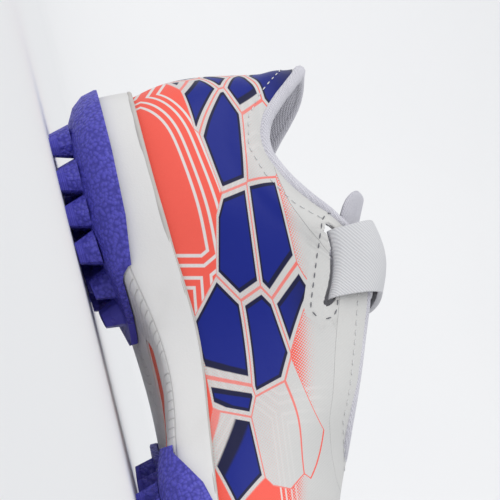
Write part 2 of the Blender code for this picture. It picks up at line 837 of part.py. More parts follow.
def make_upper():
    """The hollow upper: one wall, open at the collar and throat, at the slot and underneath."""
    bm = bmesh.new()
    count = 2 * side_stations
    rings = upper_rings(bm, count)
    for lower, upper in zip(rings, rings[1:]):
        bridge(bm, lower, upper)
    bm.verts.index_update()
    weights = {}
    for level, vertices in enumerate(rings[3:]):
        for step, vertex in enumerate(vertices):
            weights[vertex.index] = padding_weight(2.0 * step / count, level / rib_steps)
    shell = make_object("upper", bm, UPPER_CORAL, closed=False)
    padding = shell.vertex_groups.new(name="padding")
    for index, weight in weights.items():
        padding.add([index], weight, "REPLACE")
    thicken = shell.modifiers.new("wall", "SOLIDIFY")
    thicken.thickness = wall + collar_padding
    thicken.offset = -1.0
    thicken.use_even_offset = True
    thicken.vertex_group = padding.name
    thicken.thickness_vertex_group = wall / (wall + collar_padding)
    add_boolean(shell, make_slot_cutter(), "DIFFERENCE")
    return shell


def ribbon(bm, sections):
    """Close a solid from sections that each list an upper row and a lower row of points."""
    loops = []
    for high, low in sections:
        loops.append([bm.verts.new(point) for point in high + low[::-1]])
    for first, second in zip(loops, loops[1:]):
        bridge(bm, first, second)
    for loop in (loops[0], loops[-1]):
        width = len(loop) // 2
        for step in range(width - 1):
            bm.faces.new((loop[step], loop[step + 1], loop[-step - 2], loop[-step - 1]))


def make_tongue():
    """Padded tongue under the throat, with its top standing up behind the strap."""
    bm = bmesh.new()
    columns = 9
    rise = Vector((-cos(tongue_rise_angle), 0.0, sin(tongue_rise_angle)))
    sections = []
    for along, beyond, width, below in TONGUE:
        depth = wall + clearance + fabric_play + below * (strap_thickness + clearance)
        shift = rise * (beyond * tongue_beyond)
        high, low = [], []
        for column in range(columns):
            share = 2.0 * column / (columns - 1) - 1.0
            girth = share * width * tongue_half_width
            thickness = tongue_thickness * (1.0 - 0.45 * share ** 4)
            high.append(lifted(along, girth, -depth) + shift)
            low.append(lifted(along, girth, -depth - thickness) + shift)
        sections.append((high, low))
    ribbon(bm, sections)
    return make_object("tongue", bm, LINING_WHITE)


def strap_path():
    """The strap's middle line as (girth, lift, width share), from its hidden end to its free end."""
    edge = half_throat(strap_along)
    turn_middle, turn_radius = strap_turn()
    inside = turn_middle - turn_radius
    outside = turn_middle + turn_radius
    turn_girth = -(edge + slot_below_edge)
    path = []
    run_steps = 10
    for step in range(run_steps):
        share = step / run_steps
        path.append((edge + strap_anchor + (turn_girth - edge - strap_anchor) * share, inside, 1.0))
    for step in range(7):
        angle = pi * step / 6
        path.append((turn_girth - turn_radius * sin(angle), turn_middle - turn_radius * cos(angle), 1.0))
    start, end = turn_girth, edge + strap_tail
    return_steps = 20
    for step in range(1, return_steps + 1):
        girth = start + (end - start) * step / return_steps
        middle = max(0.0, 1.0 - (girth / edge) ** 2)
        shoulder = ease(girth, start, -edge) * (1.0 - ease(girth, -edge, -0.2 * edge))
        lift = outside + strap_bulge * shoulder - throat_sag * middle
        width = 1.0 if step < return_steps - 1 else 0.94 if step < return_steps else 0.72
        path.append((girth, lift, width))
    return path


def make_strap():
    """Strap that runs over the tongue, out of the medial slot and back over the instep."""
    bm = bmesh.new()
    path = strap_path()
    columns = 5
    sections = []
    for index, (girth, lift, width) in enumerate(path):
        before = path[max(index - 1, 0)]
        after = path[min(index + 1, len(path) - 1)]
        run, rise = after[0] - before[0], after[1] - before[1]
        size = (run * run + rise * rise) ** 0.5
        across_run, across_rise = -rise / size, run / size
        half = 0.5 * strap_thickness
        high, low = [], []
        for column in range(columns):
            share = (2.0 * column / (columns - 1) - 1.0) * width
            along = strap_along + 0.5 * share * strap_width / midsole_length
            high.append(lifted(along, girth + across_run * half, lift + across_rise * half))
            low.append(lifted(along, girth - across_run * half, lift - across_rise * half))
        sections.append((high, low))
    ribbon(bm, sections)
    return make_object("strap", bm, STRAP_WHITE)


def build():
    """Clear the scene and model every piece."""
    for old in list(bpy.data.objects):
        bpy.data.objects.remove(old, do_unlink=True)
    make_pad("outsole_heel", "heel", HEEL_PAD_EDGE, ahead=False)
    make_pad("outsole_forefoot", "fore", FORE_PAD_EDGE, ahead=True)
    make_midsole()
    leaf_solid("arch_inlay", 0.0, inlay_recess, inlay_recess + inlay_thickness, FOAM_CORAL)
    make_insole()
    make_upper()
    make_tongue()
    make_strap()


build()
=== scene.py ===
"""The looks of a child's left turf shoe with one hook-and-loop strap.

The shoe stands on its lugs with the toe towards +X, its lateral side on +Y and its medial side on -Y.
Sizes are in metres. Each section below makes one piece, from the ground up.
"""

from math import atan2, cos, exp, pi, radians, sin

import bmesh
import bpy
from mathutils import Matrix, Vector, kdtree
from mathutils.bvhtree import BVHTree


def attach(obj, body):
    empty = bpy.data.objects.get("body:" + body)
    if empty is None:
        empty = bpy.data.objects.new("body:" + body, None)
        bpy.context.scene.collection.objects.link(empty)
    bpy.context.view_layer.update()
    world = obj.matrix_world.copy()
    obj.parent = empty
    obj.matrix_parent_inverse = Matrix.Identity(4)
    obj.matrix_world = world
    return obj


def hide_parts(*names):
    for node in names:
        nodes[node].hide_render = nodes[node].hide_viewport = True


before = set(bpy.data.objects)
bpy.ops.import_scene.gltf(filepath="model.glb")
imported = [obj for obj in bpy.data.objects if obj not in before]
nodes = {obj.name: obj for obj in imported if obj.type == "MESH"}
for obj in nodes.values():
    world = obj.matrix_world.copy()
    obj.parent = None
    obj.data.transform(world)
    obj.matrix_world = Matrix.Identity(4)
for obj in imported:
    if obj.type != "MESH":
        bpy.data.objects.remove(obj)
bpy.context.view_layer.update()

scene = bpy.context.scene

# View
# The camera looks at the medial side from just above the floor, a little from the front, and is
# rolled so that the heel is up and the toe runs out of the picture at the bottom.
view_azimuth = radians(16.5)
view_elevation = radians(-4.4)
view_roll = radians(76.0)
view_distance = 0.520
view_width = 0.1490
across_target = 0.0375
up_target = 0.0585

camera_right = Vector((cos(view_azimuth), sin(view_azimuth), 0.0))
camera_back = Vector((sin(view_azimuth) * cos(view_elevation),
                      -cos(view_azimuth) * cos(view_elevation),
                      sin(view_elevation)))
camera_up = camera_back.cross(camera_right)
picture_right = camera_right * cos(view_roll) + camera_up * sin(view_roll)
picture_up = camera_up * cos(view_roll) - camera_right * sin(view_roll)
target = picture_right * across_target + picture_up * up_target

camera = bpy.data.objects.new("camera", bpy.data.cameras.new("camera"))
scene.collection.objects.link(camera)
camera.data.sensor_width = 36.0
camera.data.lens = camera.data.sensor_width * view_distance / view_width
camera.data.clip_start = 0.01
camera.rotation_mode = "QUATERNION"
camera.location = target + camera_back * view_distance
camera.rotation_quaternion = Matrix((picture_right, picture_up, camera_back)).transposed().to_quaternion()
scene.camera = camera

# Floor and light
# A pale floor that sweeps up into a backdrop, under a broad soft lamp and a pale sky.
floor_reach = 2.4
sweep_radius = 1.2
paper_grey = (0.79, 0.79, 0.80, 1)
paper_white = (0.83, 0.83, 0.83, 1)

sweep = bmesh.new()
bmesh.ops.create_grid(sweep, x_segments=1, y_segments=1, size=floor_reach)
far_edge = [line for line in sweep.edges if all(vertex.co.y > 0.0 for vertex in line.verts)]
bmesh.ops.spin(sweep, geom=far_edge, cent=(0.0, floor_reach, sweep_radius), axis=(1.0, 0.0, 0.0),
               angle=radians(90), steps=24)
bmesh.ops.remove_doubles(sweep, verts=sweep.verts, dist=1e-5)
for face in sweep.faces:
    face.smooth = True
floor = bpy.data.objects.new("floor", bpy.data.meshes.new("floor"))
sweep.to_mesh(floor.data)
sweep.free()
scene.collection.objects.link(floor)


class Tone:
    """One output of a material's nodes. Arithmetic on it adds Math nodes."""

    def __init__(self, tree, socket=None):
        self.tree = tree
        self.socket = socket

    def node(self, kind, settings=None, values=None, output=0):
        """Adds a node, sets it, fills or links its sockets, and gives one of its outputs."""
        made = self.tree.nodes.new("ShaderNode" + kind)
        for name, value in (settings or {}).items():
            setattr(made, name, value)
        for name, value in (values or {}).items():
            if isinstance(value, Tone):
                self.tree.links.new(value.socket, made.inputs[name])
            else:
                made.inputs[name].default_value = value
        return Tone(self.tree, made.outputs[output])

    def maths(self, operation, first, second=0.0):
        return self.node("Math", {"operation": operation}, {0: first, 1: second})

    def __add__(self, other):
        return self.maths("ADD", self, other)

    __radd__ = __add__

    def __sub__(self, other):
        return self.maths("SUBTRACT", self, other)

    def __rsub__(self, other):
        return self.maths("SUBTRACT", other, self)

    def __mul__(self, other):
        return self.maths("MULTIPLY", self, other)

    __rmul__ = __mul__

    def __truediv__(self, other):
        return self.maths("DIVIDE", self, other)

    def __mod__(self, other):
        return self.maths("FLOORED_MODULO", self, other)

    def __abs__(self):
        return self.maths("ABSOLUTE", self)

    def step(self, low, high):
        """Runs smoothly from 0 at low to 1 at high."""
        return self.node("MapRange", {"interpolation_type": "SMOOTHSTEP"},
                         {"Value": self, "From Min": low, "From Max": high})

    def near(self, middle, reach):
        """Is 1 where this is close to a value and 0 farther off than the reach."""
        return abs(self - middle).step(reach, 0.5 * reach)

    def wave(self, length):
        """A wave between -1 and 1 with the given length."""
        return self.maths("SINE", self * (2.0 * pi / length))

    def over(self, under, colour):
        """A colour laid over another where this mask is 1."""
        return self.node("Mix", {"data_type": "RGBA"}, {0: self, 6: under, 7: colour}, 2)

    def axis(self, name):
        return self.node("SeparateXYZ", None, {0: self}, name)

    def grain(self, size, detail=2.0):
        """Soft noise between 0 and 1 with features of the given size."""
        return self.node("TexNoise", None, {"Vector": self, "Scale": 1.0 / size, "Detail": detail})

    def layer(self, name):
        """A number that the mesh holds at its points."""
        return self.node("Attribute", {"attribute_name": name}, None, "Fac")


def finish(name, constants):
    """A new material, its shader and the place of a point on the piece."""
    made = bpy.data.materials.new(name)
    made.use_nodes = True
    shader = made.node_tree.nodes["Principled BSDF"]
    for socket, value in constants.items():
        shader.inputs[socket].default_value = value
    place = Tone(made.node_tree).node("TexCoord", None, None, "Object")
    return made, shader, place


def feed(shader, colour=None, roughness=None, height=None):
    """Links tones to the shader; a height in metres goes through a Bump node."""
    for name, tone in (("Base Color", colour), ("Roughness", roughness), ("Normal", height)):
        if tone is None:
            continue
        if name == "Normal":
            tone = tone.node("Bump", None, {"Height": tone, "Strength": 1.0, "Distance": 1.0})
        tone.tree.links.new(tone.socket, shader.inputs[name])


paper, shader, place = finish("paper", {"Roughness": 0.9, "Specular IOR Level": 0.2})
feed(shader, place.grain(0.6, 3.0).over(paper_grey, paper_white))
floor.data.materials.append(paper)

sky = bpy.data.worlds.new("sky")
sky.use_nodes = True
sky.node_tree.nodes["Background"].inputs["Color"].default_value = (0.95, 0.97, 1.0, 1)
sky.node_tree.nodes["Background"].inputs["Strength"].default_value = 0.78
scene.world = sky
scene.view_settings.view_transform = "Standard"

# One broad lamp far off, from the heel's side and above, as even on the floor as on the backdrop
lamp_direction = Vector((-0.60, -0.75, 0.70))
light = bpy.data.lights.new("window", "SUN")
light.angle = radians(70)
light.energy = 1.25
light.color = (1.0, 0.99, 0.97)
window = bpy.data.objects.new("window", light)
window.rotation_mode = "QUATERNION"
window.rotation_quaternion = lamp_direction.to_track_quat("Z", "Y")
scene.collection.objects.link(window)

# Rubber pads
# Heel and forefoot stand on two moulded rubber pads with tapered lugs. The rubber is one blue
# compound with a leather-like grain. The lugs end in smooth stepped tips, and the middle line of
# lugs stands on a finely grooved strip.
rubber_deep = (0.022, 0.020, 0.230, 1)
rubber_blue = (0.085, 0.078, 0.520, 1)
pebble_size = 0.0012
pebble_depth = 0.00030
tip_height = 0.0024
tip_ring = 0.0006
lug_step = 0.0009
lug_step_depth = 0.0004
highest_tip = 0.0035
crease_angle = radians(40)
mould_edge = 0.00045
strip_middle = 0.0042
strip_half_width = 0.0042
strip_groove = 0.0011


def merged_copy(name):
    """The mesh of a CAD node as one closed skin, mostly of quads."""
    skin = bmesh.new()
    skin.from_mesh(nodes[name].data)
    bmesh.ops.remove_doubles(skin, verts=skin.verts, dist=1e-6)
    bmesh.ops.join_triangles(skin, faces=skin.faces, angle_face_threshold=radians(25),
                             angle_shape_threshold=radians(60))
    return skin


def shade(skin, sharp):
    """Smooth shading, with creases kept where faces meet at more than an angle."""
    for face in skin.faces:
        face.smooth = True
    for line in skin.edges:
        line.smooth = len(line.link_faces) != 2 or line.calc_face_angle(0.0) < sharp


def place_piece(name, skin, materials, slot, *replaced):
    """Turns a skin into a piece that rides on the shoe's one body."""
    piece = bpy.data.objects.new(name, bpy.data.meshes.new(name))
    skin.to_mesh(piece.data)
    skin.free()
    scene.collection.objects.link(piece)
    for material in materials:
        piece.data.materials.append(material)
    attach(piece, "root")
    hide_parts(*replaced)
    return piece


def round_edges(piece, width, angle):
    """Rounds the edges that are sharper than an angle."""
    bevel = piece.modifiers.new("rounded edges", "BEVEL")
    bevel.width = width
    bevel.segments = 2
    bevel.limit_method = "ANGLE"
    bevel.angle_limit = angle


def tips_of(pad):
    """The flat faces at the tips of a pad's lugs."""
    return [face for face in pad.faces
            if face.normal.z < -0.9 and face.calc_center_median().z < highest_tip]


rubber, shader, place = finish("pebbled rubber", {"Specular IOR Level": 0.45})
warped = place.node("VectorMath", {"operation": "MULTIPLY_ADD"}, {
    0: place.node("TexNoise", None, {"Vector": place, "Scale": 400.0, "Detail": 1.0}, "Color"),
    1: (0.0009, 0.0009, 0.0009), 2: place})
pebbles = warped.node("TexVoronoi", {"feature": "F1"},
                      {"Vector": warped, "Scale": 1.0 / pebble_size, "Randomness": 0.9})
above_floor = place.axis("Z")
beside_strip = abs(place.axis("Y") - strip_middle)
strip = beside_strip.step(strip_half_width + 0.0003, strip_half_width)
grained = above_floor.step(tip_height - 0.0004, tip_height + 0.0004) * (1.0 - strip)
rings = above_floor.wave(tip_ring) * above_floor.step(tip_height, tip_height - 0.0006) * 0.00004
root_plane = above_floor.near(0.0058, 0.0006)
grooves = place.axis("Y").wave(strip_groove) * strip * root_plane * 0.00012
# Painted shade: the hollows between the pebbles are painted darker, towards rubber_deep, and are also
# rougher; the broad grain gives random tone.
shaded_hollow = pebbles.step(0.35, 0.75) * grained
feed(shader,
     colour=(0.75 - 0.55 * shaded_hollow + 0.25 * place.grain(0.02)).over(rubber_deep, rubber_blue),
     roughness=0.40 + 0.10 * place.grain(0.004) + 0.12 * shaded_hollow,
     height=pebbles.step(0.9, 0.1) * grained * pebble_depth + rings + grooves)

for name in ("outsole_heel", "outsole_forefoot"):
    pad = merged_copy(name)
    tips = tips_of(pad)
    bmesh.ops.dissolve_limit(pad, angle_limit=radians(1),
                             edges=list({line for face in tips for line in face.edges}),
                             verts=list({vertex for face in tips for vertex in face.verts}))
    bmesh.ops.inset_individual(pad, faces=tips_of(pad), thickness=lug_step, depth=-lug_step_depth)
    shade(pad, crease_angle)
    piece = place_piece(name + "_rubber", pad, [rubber], "rubber", name)
    round_edges(piece, mould_edge, radians(35))

# Midsole
# A cupped sole of white moulded foam. The plate under the arch has creased ridges that follow the
# pads' edges, the side wall is smooth, and a thin greyish lip is rolled along the rim.
foam_light = (0.70, 0.695, 0.685, 1)
foam_shade = (0.55, 0.54, 0.52, 1)
lip_grey = (0.44, 0.415, 0.385, 1)
sole_length = 0.2214
ball_width = 0.0835
heel_middle = 0.0035
ridge_pitch = 0.0027
ridge_depth = 0.00042
lip_radius = 0.00095
lip_radius_at_rubber = 0.0003
lip_sink = 0.0004
rubber_rise = (0.020, 0.045)
# Edges of the two pads under the arch: along, across as a share of the ball's width
HEEL_PAD_EDGE = (
    (0.236, -0.70), (0.246, -0.46), (0.290, -0.28), (0.342, -0.02),
    (0.356, 0.06), (0.352, 0.11), (0.312, 0.18), (0.266, 0.36), (0.254, 0.70),
)
FORE_PAD_EDGE = (
    (0.545, -0.70), (0.540, -0.40), (0.532, -0.24), (0.548, -0.10),
    (0.562, 0.02), (0.552, 0.08), (0.505, 0.22), (0.478, 0.34), (0.468, 0.70),
)
INLAY_LINE = ((0.365, 0.02), (0.470, 0.02))


def filled_in(points, spacing, closed):
    """Points of a line, filled in at a spacing."""
    ends = zip(points, points[1:] + points[:1] if closed else points[1:])
    dense = []
    for start, end in ends:
        count = max(1, int((end - start).length / spacing))
        dense.extend(start.lerp(end, index / count) for index in range(count))
    return dense


def search_tree(points):
    """A tree that finds the point nearest to a place."""
    tree = kdtree.KDTree(len(points))
    for index, point in enumerate(points):
        tree.insert(point, index)
    tree.balance()
    return tree


def smooth_regions(skin, sharp):
    """Groups of faces between the edges that are sharper than an angle, the largest first."""
    barrier = {line for line in skin.edges if line.calc_face_angle(0.0) > sharp}
    regions = []
    seen = set()
    for start in skin.faces:
        if start in seen:
            continue
        seen.add(start)
        region = [start]
        for face in region:
            for line in face.edges:
                if line in barrier:
                    continue
                for neighbour in line.link_faces:
                    if neighbour not in seen:
                        seen.add(neighbour)
                        region.append(neighbour)
        regions.append(region)
    regions.sort(key=area_of, reverse=True)
    return regions


def area_of(faces):
    """The area of some faces together."""
    return sum(face.calc_area() for face in faces)


def rungs_of(strip_faces):
    """The cross edges of a closed strip of faces, in order round the strip."""
    members = set(strip_faces)
    face = strip_faces[0]
    rungs = []
    came_by = None
    while True:
        cross = [line for line in face.edges if all(one in members for one in line.link_faces)]
        line = cross[0] if cross[0] is not came_by else cross[1]
        if rungs and line is rungs[0]:
            return rungs
        rungs.append(line)
        face = next(one for one in line.link_faces if one is not face)
        came_by = line


def smoothed(skin, sharp, crease, levels):
    """The skin after smooth subdivision, with the edges sharper than an angle held by a crease."""
    layer = skin.edges.layers.float.new("crease_edge")
    for line in skin.edges:
        if line.calc_face_angle(0.0) > sharp:
            line[layer] = crease
    draft = bpy.data.objects.new("draft", bpy.data.meshes.new("draft"))
    skin.to_mesh(draft.data)
    skin.free()
    scene.collection.objects.link(draft)
    subdivision = draft.modifiers.new("smooth", "SUBSURF")
    subdivision.levels = subdivision.render_levels = levels
    finer = bmesh.new()
    finer.from_object(draft, bpy.context.evaluated_depsgraph_get())
    bpy.data.objects.remove(draft)
    finer.edges.layers.float.remove(finer.edges.layers.float["crease_edge"])
    return finer


def bead(name, points, radii, material, slot):
    """A round bead along a closed line of points."""
    line = bpy.data.curves.new(name, "CURVE")
    line.dimensions = "3D"
    line.bevel_depth = 1.0
    line.bevel_resolution = 3
    line.resolution_u = 4
    spline = line.splines.new("BEZIER")
    spline.use_cyclic_u = True
    spline.bezier_points.add(len(points) - 1)
    for knot, point, radius in zip(spline.bezier_points, points, radii):
        knot.co = point
        knot.radius = radius
        knot.handle_left_type = knot.handle_right_type = "AUTO"
    draft = bpy.data.objects.new(name + " line", line)
    scene.collection.objects.link(draft)
    skin = bmesh.new()
    skin.from_mesh(bpy.data.meshes.new_from_object(draft))
    bpy.data.objects.remove(draft)
    bmesh.ops.remove_doubles(skin, verts=skin.verts, dist=1e-6)
    bmesh.ops.recalc_face_normals(skin, faces=skin.faces)
    shade(skin, radians(60))
    return place_piece(name, skin, [material], slot)


def on_sole(table):
    """Points of the plan from a table of places along and across."""
    return [Vector(((along - 0.5) * sole_length, across * ball_width + heel_middle, 0.0))
            for along, across in table]


cup = merged_copy("midsole")
regions = smooth_regions(cup, crease_angle)
lip_faces = next(region for region in regions[2:] if all(face.normal.z > 0.5 for face in region))
lip_line = []
for rung in rungs_of(lip_faces):
    lip_line.append((rung.verts[0].co + rung.verts[1].co) / 2.0)
cup = smoothed(cup, crease_angle, 0.85, 2)
pad_edges = search_tree(filled_in(on_sole(HEEL_PAD_EDGE), 0.0005, False)
                        + filled_in(on_sole(FORE_PAD_EDGE), 0.0005, False))
inlay_line = search_tree(filled_in(on_sole(INLAY_LINE), 0.0005, False))
cup.normal_update()
ridge_layer = cup.verts.layers.float.new("ridge")
plate_layer = cup.verts.layers.float.new("plate")
tilt_layer = cup.verts.layers.float.new("tilt")
for vertex in cup.verts:
    under = Vector((vertex.co.x, vertex.co.y, 0.0))
    vertex[ridge_layer] = pad_edges.find(under)[2]
    vertex[plate_layer] = inlay_line.find(under)[2]
    vertex[tilt_layer] = -vertex.normal.z
shade(cup, crease_angle)

foam, shader, place = finish("white foam", {"Specular IOR Level": 0.4})
ridge = place.layer("ridge")
tilt = place.layer("tilt")
plate = tilt.step(0.55, 0.65) * place.layer("plate").step(0.0062, 0.0075)
saw = ((ridge + 0.0006) % ridge_pitch) / ridge_pitch
# Painted shade: the crease line at the step of each ridge is painted darker, towards foam_shade, as well
# as sunk a little as a bump.
crease = saw.near(0.08, 0.07) * plate
seam = tilt.near(0.50, 0.05) * place.axis("X").step(-0.062, -0.055) * place.axis("X").step(0.030, 0.020)
dust = place.grain(0.018, 4.0).step(0.45, 0.80) * 0.35
feed(shader,
     colour=((dust + 0.5 * crease + 0.6 * seam).over(foam_light, foam_shade)),
     roughness=0.48 + 0.15 * place.grain(0.003),
     height=place.grain(0.0006, 3.0) * 0.00003 + saw * plate * ridge_depth
            - crease * 0.0002 - seam * 0.0002)
midsole = place_piece("midsole_foam", cup, [foam], "foam", "midsole")

lip_foam, shader, place = finish("lip foam", {"Specular IOR Level": 0.35})
feed(shader, place.grain(0.006).over(lip_grey, foam_shade), 0.5 + 0.2 * place.grain(0.002))
lip_radii = []
lip_points = []
for point in lip_line:
    covered = min(max((point.x - rubber_rise[0]) / (rubber_rise[1] - rubber_rise[0]), 0.0), 1.0)
    lip_radii.append(lip_radius + (lip_radius_at_rubber - lip_radius) * covered)
    lip_points.append(point - Vector((0.0, 0.0, lip_sink)))
bead("midsole_lip", lip_points, lip_radii, lip_foam, "foam")

# Arch inlay
# A coral foam leaf let into the arch plate, with fine ribs across it.
inlay_deep = (0.80, 0.085, 0.050, 1)
inlay_light = (0.95, 0.17, 0.10, 1)
inlay_rib = 0.0013
inlay_edge = 0.0003

coral_foam, shader, place = finish("coral foam", {"Specular IOR Level": 0.4})
# Painted shade: the ribs are painted lighter on their crests and darker in their troughs, in step with
# their bump; the grain gives random tone.
ribs = (place.axis("X") * 0.35 + place.axis("Y")).wave(inlay_rib)
feed(shader,
     colour=(ribs * 0.2 + place.grain(0.004)).over(inlay_deep, inlay_light),
     roughness=0.5 + 0.1 * place.grain(0.002),
     height=ribs * 0.00009)
leaf = merged_copy("arch_inlay")
shade(leaf, crease_angle)
inlay = place_piece("arch_inlay_foam", leaf, [coral_foam], "inlay", "arch_inlay")
round_edges(inlay, inlay_edge, crease_angle)

# Insole
# A loose foam sock liner with a knitted top.
knit_light = (0.76, 0.75, 0.80, 1)
knit_shade = (0.55, 0.54, 0.60, 1)
loop_length = 0.0012
loop_width = 0.0009
liner_edge = 0.0008

knit, shader, place = finish("knitted lining", {"Specular IOR Level": 0.2, "Sheen Weight": 0.25})
# Painted shade: the knit is painted darker, towards knit_shade, in the hollows between the loops and
# lighter on them, in step with their bump; the grain gives random tone.
shaded_loops = (place.axis("X").wave(loop_length)
         * (place.axis("Z") + place.axis("Y") + 0.3 * place.axis("X")).wave(loop_width))
feed(shader,
     colour=(shaded_loops * 0.35 + place.grain(0.008) * 0.9).over(knit_shade, knit_light),
     roughness=0.85 + 0.1 * place.grain(0.003),
     height=shaded_loops * 0.00011 + place.grain(0.0006) * 0.00008)
liner = merged_copy("insole")
shade(liner, crease_angle)
insole = place_piece("insole_liner", liner, [knit], "lining", "insole")
round_edges(insole, liner_edge, crease_angle)

# Upper
# One moulded shell of coated textile over a knitted lining, open at the collar and the throat and
# turned in under the insole. The print runs from coral at the sole through fine dots to white at
# the throat, with a field of angular blue facets and thin lines, and a patch round the strap's slot.
coral = (0.93, 0.088, 0.052, 1)
print_white = (0.62, 0.615, 0.600, 1)
line_white = (0.76, 0.73, 0.71, 1)
print_blue = (0.003, 0.013, 0.220, 1)
print_navy = (0.006, 0.007, 0.045, 1)
twill_grey = (0.45, 0.45, 0.45, 1)
dot_pitch = 0.00095
twill_pitch = 0.0008
facet_size = 0.0125
facet_stretch = 2.30
facet_tilt = radians(9)
facet_middle = (-0.110, 0.0, 0.0600)
facet_reach = 0.0150
facet_length = 0.140
gap_width = 0.0014
outline_width = 0.0024
hairline_width = 0.00022
print_edge = 0.00012
panel_size = 0.030
stripe_places = (0.0008, 0.0021)
stripe_reach = 0.00030
thickest_wall = 0.005
stay_width = 0.0105
stay_start = (-0.080, -0.036)
roll_bulge = 0.0007
roll_width = 0.0110
roll_start = 0.0020
slot_rear = Vector((-0.0462, -0.0172, 0.0772))
slot_front = Vector((-0.0230, -0.0150, 0.0672))
patch_reach = 0.0062
patch_height = 0.00030
# Soft creases of the shell: middle, run, half length, half width and depth of each trough
CREASES = (
    ((0.026, -0.020, 0.056), (0.30, 0.80, 0.25), 0.018, 0.0042, 0.0008),
    ((0.038, -0.016, 0.050), (0.20, 0.90, 0.15), 0.020, 0.0040, 0.0007),
    ((0.030, 0.022, 0.052), (-0.15, 0.90, -0.35), 0.016, 0.0042, 0.0008),
    ((-0.052, -0.022, 0.056), (0.55, 0.10, -0.80), 0.016, 0.0060, 0.0007),
    ((-0.020, -0.024, 0.052), (0.75, -0.10, -0.60), 0.022, 0.0055, 0.0006),
    ((-0.060, 0.030, 0.050), (0.60, 0.10, -0.70), 0.018, 0.0060, 0.0007),
    ((-0.096, -0.022, 0.050), (0.30, 0.00, 0.90), 0.014, 0.0055, 0.0005),
)

shell = merged_copy("upper")
regions = smooth_regions(shell, crease_angle)
for face in shell.faces:
    face.material_index = 2
for face in regions[0]:
    face.material_index = 0
for face in regions[1]:
    face.material_index = 1
top_faces = []
for region in regions[2:]:
    if area_of(region) > 0.0001 and all(face.calc_center_median().z > 0.050 for face in region):
        top_faces.extend(region)
top_line = []
top_widths = []
top_outsides = []
for rung in rungs_of(top_faces):
    if rung.calc_length() > thickest_wall:
        continue
    first, second = rung.verts
    if any(face.material_index == 0 for face in second.link_faces):
        first, second = second, first
    out = (first.co - second.co).normalized()
    rise = sum((face.normal for face in rung.link_faces), Vector()).normalized()
    top_line.append((first.co + second.co) / 2.0)
    top_widths.append((first.co - second.co).length)
    top_outsides.append((first.co.copy(), out, rise))
shell = smoothed(shell, crease_angle, 0.75, 2)
shell.normal_update()

top_edge = search_tree(filled_in(top_line, 0.0008, True))
sole_edge = search_tree(filled_in(lip_line, 0.0008, True))
slot_run = (slot_front - slot_rear).normalized()
slot_length = (slot_front - slot_rear).length


def from_slot(point):
    """The distance of a point from the middle line of the slot."""
    along = min(max((point - slot_rear).dot(slot_run), 0.0), slot_length)
    return (point - slot_rear - slot_run * along).length


def soft(value, low, high):
    """A smooth step from 0 at low to 1 at high."""
    share = min(max((value - low) / (high - low), 0.0), 1.0)
    return share * share * (3.0 - 2.0 * share)


rise_layer = shell.verts.layers.float.new("rise")
edge_layer = shell.verts.layers.float.new("edge")
patch_layer = shell.verts.layers.float.new("patch")
moves = []
for vertex in shell.verts:
    place = vertex.co
    outer = any(face.material_index == 0 for face in vertex.link_faces)
    vertex[rise_layer] = sole_edge.find(place)[2]
    vertex[edge_layer] = top_edge.find(place)[2]
    vertex[patch_layer] = from_slot(place)
    push = 0.0
    for middle, run, half_length, half_width, depth in CREASES:
        offset = place - Vector(middle)
        along = offset.dot(Vector(run).normalized())
        across = (offset.length_squared - along * along) / half_width ** 2
        push -= depth * exp(-across - (along / half_length) ** 2)
    if outer:
        padded_collar = soft(-place.x, 0.020, 0.045)
        roll = (vertex[edge_layer] - roll_start) / roll_width
        if 0.0 < roll < 1.0:
            push += roll_bulge * padded_collar * sin(pi * roll) ** 2
        push += patch_height * soft(vertex[patch_layer], patch_reach, patch_reach - 0.0009)
    moves.append((vertex, vertex.normal * (push if outer else -push)))
for vertex, move in moves:
    vertex.co += move
shell.normal_update()
shade(shell, radians(50))
shell_tree = BVHTree.FromBMesh(shell)

skin_finish, shader, place = finish("printed coated textile", {"Specular IOR Level": 0.22})
run = place.axis("X")
rise = place.layer("rise")
edge = place.layer("edge")
facet_place = place.node("Mapping", {"vector_type": "TEXTURE"}, {
    "Vector": place, "Location": facet_middle, "Rotation": (0.0, facet_tilt, 0.0),
    "Scale": (facet_stretch, 2.0, 1.0)})
cells = {"Vector": facet_place, "Scale": 1.0 / facet_size, "Randomness": 1.0}
facet_edge = facet_place.node("TexVoronoi", {"feature": "DISTANCE_TO_EDGE"}, cells) * facet_size
facet_colour = facet_place.node("TexVoronoi", {"feature": "F1"}, cells, "Color")
facet_heart = facet_place.node("TexVoronoi", {"feature": "F1"}, cells, "Position")
pick = facet_colour.axis("X")
off_middle = abs(facet_heart.axis("Z")) + 0.05 * facet_heart.axis("X")
field_end = facet_length / facet_stretch
field = (off_middle.step(facet_reach, facet_reach - 0.0001)
         * facet_heart.axis("X").step(field_end, field_end - 0.0001))
facet = (field * pick.step(0.10, 0.11)
         * facet_edge.step(0.5 * gap_width, 0.5 * gap_width + print_edge))
outline = 1.0 - facet_edge.step(0.5 * outline_width, 0.5 * outline_width + print_edge)
dark = (rise + 0.10 * run + 0.012 * pick - 0.030).step(0.0, 0.020)
printed = outline.maths("MAXIMUM", outline, dark).over(print_blue, print_navy)
fade = (rise + 0.13 * run - 0.0185).step(0.0, 0.020)
fade = fade.maths("MAXIMUM", fade, 0.72 * field + 0.28 * field * fade)
dots_u = ((run + rise) % dot_pitch) / dot_pitch - 0.5
dots_v = ((run - rise) % dot_pitch) / dot_pitch - 0.5
dots = dots_u.maths("SQRT", dots_u * dots_u + dots_v * dots_v)
white = (fade * 0.85 - dots).step(-0.05, 0.05)
twill = (run + 0.6 * rise).wave(twill_pitch)
panels = {"Vector": facet_place, "Scale": 1.0 / panel_size, "Randomness": 0.9}
panel_edge = facet_place.node("TexVoronoi", {"feature": "DISTANCE_TO_EDGE"}, panels) * panel_size
first_stripe = panel_edge.near(stripe_places[0], stripe_reach)
second_stripe = panel_edge.near(stripe_places[1], stripe_reach)
